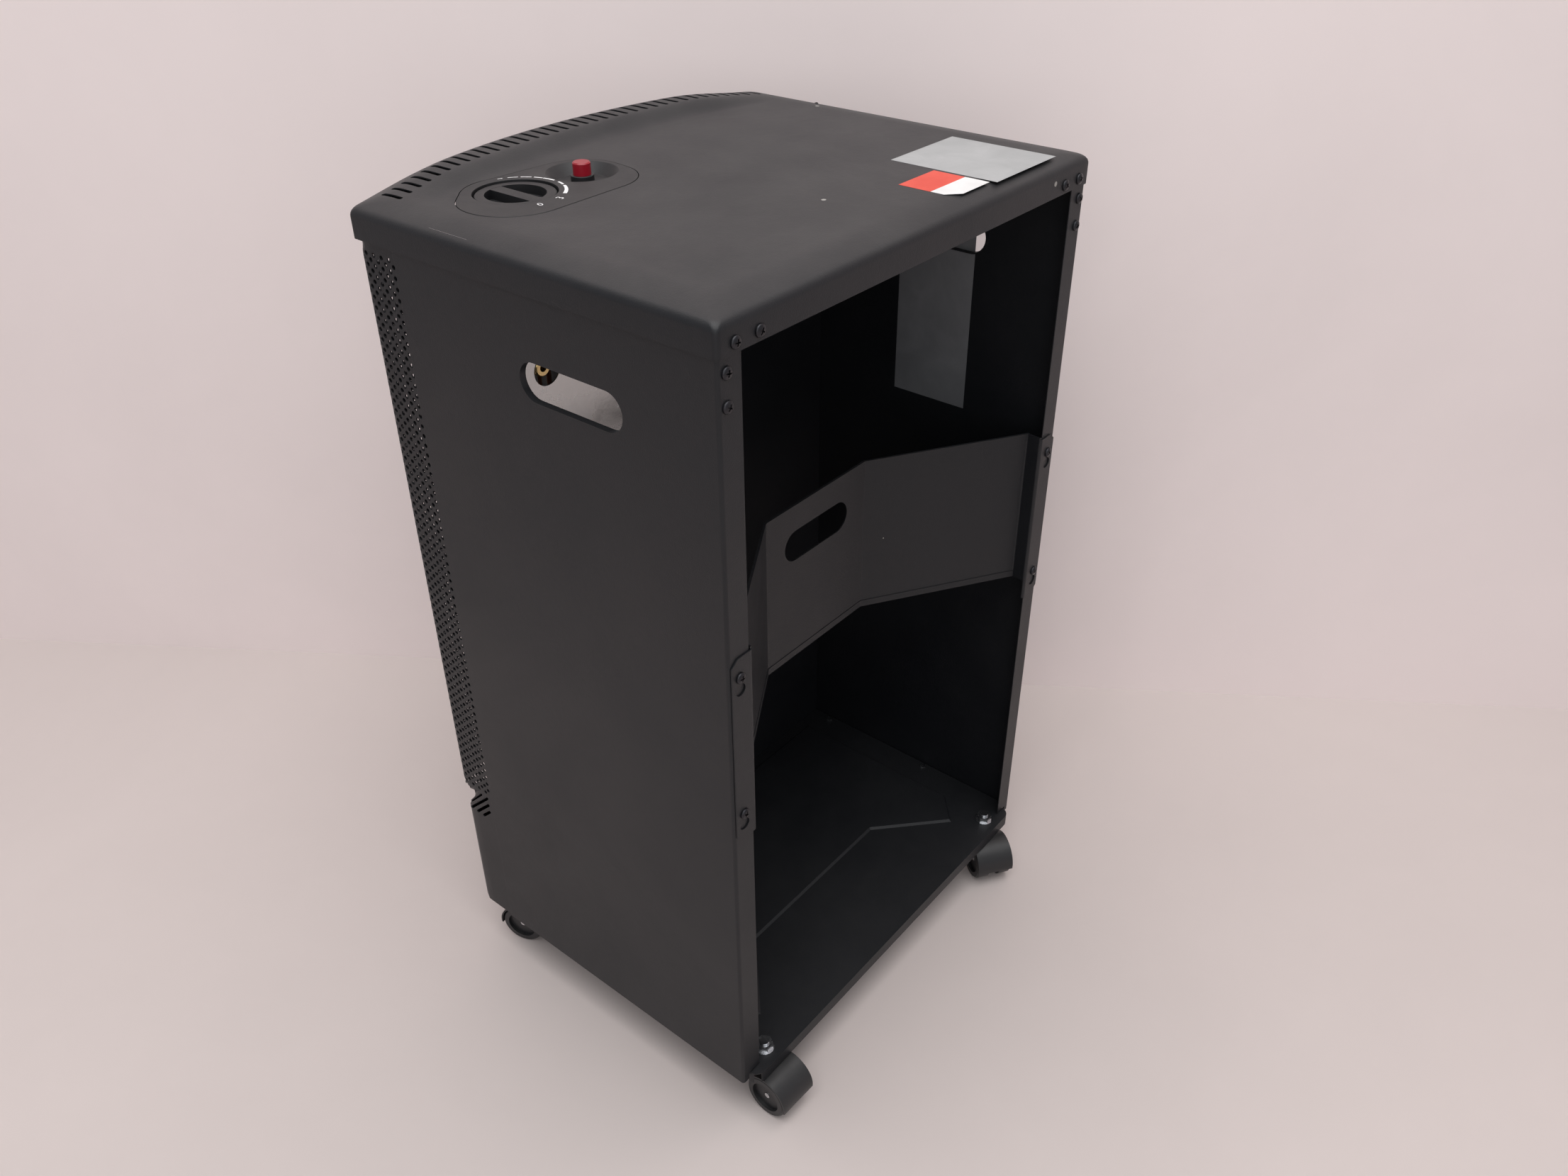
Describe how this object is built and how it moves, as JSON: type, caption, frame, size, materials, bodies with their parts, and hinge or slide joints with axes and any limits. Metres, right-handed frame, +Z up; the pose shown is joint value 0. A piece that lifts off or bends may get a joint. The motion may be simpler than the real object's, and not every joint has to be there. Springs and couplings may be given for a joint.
{
  "type": "portable gas cabinet heater",
  "caption": "Black steel cabinet heater on castors, open bottle bay behind, bowed perforated front, recessed knob and igniter button on top.",
  "frame": {"origin": "on the floor below the middle of the bounding box", "axes": "+Z up, front with the burner window towards -Y, controls on the +X side, bottle bay open towards +Y"},
  "size_m": [0.423, 0.4098, 0.727],
  "materials": {
    "black_enamel": "satin textured black stove enamel",
    "black_moulding": "fine-grained black moulding",
    "red_button": "smooth red moulding",
    "galvanised_sheet": "bright galvanised sheet",
    "brass_fitting": "machined brass",
    "cast_alloy": "die-cast, as cast",
    "burner_steel": "aluminised sheet",
    "ceramic": "porous fired ceramic",
    "copper_tube": "drawn copper tube",
    "lead_sleeve": "silicone sleeve",
    "guard_wire": "nickel-plated wire",
    "black_screw": "black-plated steel",
    "zinc_plate": "bright zinc plate",
    "castor_moulding": "black nylon"
  },
  "bodies": {
    "cabinet": {"top_cover": "black_enamel", "side_panel_left": "black_enamel", "side_panel_right": "black_enamel", "front_panel": "black_enamel", "base_tray": "black_enamel", "divider_panel": "black_enamel", "control_bezel": "black_moulding", "valve_housing": "galvanised_sheet", "control_bracket": "galvanised_sheet", "gas_inlet_nozzle": "brass_fitting", "valve_neck_nut": "brass_fitting", "pilot_burner": "brass_fitting", "piezo_igniter": "black_moulding", "igniter_nut": "black_moulding", "gas_valve": "cast_alloy", "burner_box": "burner_steel", "burner_reflector": "burner_steel", "burner_spacers": "burner_steel", "injector_rail": "burner_steel", "ceramic_plaques": "ceramic", "ignition_electrode": "ceramic", "burner_pipe": "copper_tube", "pilot_pipe": "copper_tube", "thermocouple": "copper_tube", "electrode_lead": "lead_sleeve", "wire_guard": "guard_wire", "band_screws": "black_screw", "cover_screws": "black_screw", "flange_screws": "black_screw", "castor_nuts": "zinc_plate", "castor_washers": "zinc_plate", "tray_rivets": "zinc_plate", "castor_stem_front_left": "zinc_plate", "castor_stem_front_right": "zinc_plate", "castor_stem_rear_left": "zinc_plate", "castor_stem_rear_right": "zinc_plate"},
    "retaining_band": {"retaining_band": "black_enamel"},
    "push_collar": {"spindle_collar": "black_moulding"},
    "control_knob": {"control_knob": "black_moulding", "valve_spindle": "brass_fitting"},
    "igniter_button": {"igniter_button": "red_button"},
    "castor_front_left": {"castor_hood_front_left": "castor_moulding", "castor_axle_front_left": "zinc_plate"},
    "wheel_front_left_1": {"castor_wheel_front_left_1": "castor_moulding"},
    "wheel_front_left_2": {"castor_wheel_front_left_2": "castor_moulding"},
    "castor_front_right": {"castor_hood_front_right": "castor_moulding", "castor_axle_front_right": "zinc_plate"},
    "wheel_front_right_1": {"castor_wheel_front_right_1": "castor_moulding"},
    "wheel_front_right_2": {"castor_wheel_front_right_2": "castor_moulding"},
    "castor_rear_left": {"castor_hood_rear_left": "castor_moulding", "castor_axle_rear_left": "zinc_plate"},
    "wheel_rear_left_1": {"castor_wheel_rear_left_1": "castor_moulding"},
    "wheel_rear_left_2": {"castor_wheel_rear_left_2": "castor_moulding"},
    "castor_rear_right": {"castor_hood_rear_right": "castor_moulding", "castor_axle_rear_right": "zinc_plate"},
    "wheel_rear_right_1": {"castor_wheel_rear_right_1": "castor_moulding"},
    "wheel_rear_right_2": {"castor_wheel_rear_right_2": "castor_moulding"}
  },
  "joints": [
    {"name": "band_lift", "type": "slide", "parent": "cabinet", "child": "retaining_band", "axis": [0, 0, 1], "range_m": [0, 0.01]},
    {"name": "knob_push", "type": "slide", "parent": "cabinet", "child": "push_collar", "axis": [0, 0, -1], "range_m": [0, 0.003], "stiffness_N_per_m": 1500, "springref_m": -0.002},
    {"name": "knob_turn", "type": "hinge", "parent": "push_collar", "child": "control_knob", "pos_m": [0.129, -0.08387, 0.715], "axis": [0, 0, 1], "range_deg": [0, 200]},
    {"name": "igniter_press", "type": "slide", "parent": "cabinet", "child": "igniter_button", "axis": [0, 0, -1], "range_m": [0, 0.008], "stiffness_N_per_m": 400, "springref_m": -0.004},
    {"name": "swivel_front_left", "type": "hinge", "parent": "cabinet", "child": "castor_front_left", "pos_m": [-0.1746, -0.11587, 0.045], "axis": [0, 0, 1], "continuous": true},
    {"name": "roll_front_left_1", "type": "hinge", "parent": "castor_front_left", "child": "wheel_front_left_1", "pos_m": [-0.17847, -0.13139, 0.02], "axis": [-0.9703, 0.2419, 0], "continuous": true},
    {"name": "roll_front_left_2", "type": "hinge", "parent": "castor_front_left", "child": "wheel_front_left_2", "pos_m": [-0.17847, -0.13139, 0.02], "axis": [-0.9703, 0.2419, 0], "continuous": true},
    {"name": "swivel_front_right", "type": "hinge", "parent": "cabinet", "child": "castor_front_right", "pos_m": [0.1746, -0.11587, 0.045], "axis": [0, 0, 1], "continuous": true},
    {"name": "roll_front_right_1", "type": "hinge", "parent": "castor_front_right", "child": "wheel_front_right_1", "pos_m": [0.17954, -0.13109, 0.02], "axis": [-0.9511, -0.309, 0], "continuous": true},
    {"name": "roll_front_right_2", "type": "hinge", "parent": "castor_front_right", "child": "wheel_front_right_2", "pos_m": [0.17954, -0.13109, 0.02], "axis": [-0.9511, -0.309, 0], "continuous": true},
    {"name": "swivel_rear_left", "type": "hinge", "parent": "cabinet", "child": "castor_rear_left", "pos_m": [-0.1746, 0.16313, 0.045], "axis": [0, 0, 1], "continuous": true},
    {"name": "roll_rear_left_1", "type": "hinge", "parent": "castor_rear_left", "child": "wheel_rear_left_1", "pos_m": [-0.16542, 0.17624, 0.02], "axis": [0.8192, -0.5736, 0], "continuous": true},
    {"name": "roll_rear_left_2", "type": "hinge", "parent": "castor_rear_left", "child": "wheel_rear_left_2", "pos_m": [-0.16542, 0.17624, 0.02], "axis": [0.8192, -0.5736, 0], "continuous": true},
    {"name": "swivel_rear_right", "type": "hinge", "parent": "cabinet", "child": "castor_rear_right", "pos_m": [0.1746, 0.16313, 0.045], "axis": [0, 0, 1], "continuous": true},
    {"name": "roll_rear_right_1", "type": "hinge", "parent": "castor_rear_right", "child": "wheel_rear_right_1", "pos_m": [0.17516, 0.17912, 0.02], "axis": [0.9994, -0.0349, 0], "continuous": true},
    {"name": "roll_rear_right_2", "type": "hinge", "parent": "castor_rear_right", "child": "wheel_rear_right_2", "pos_m": [0.17516, 0.17912, 0.02], "axis": [0.9994, -0.0349, 0], "continuous": true}
  ]
}
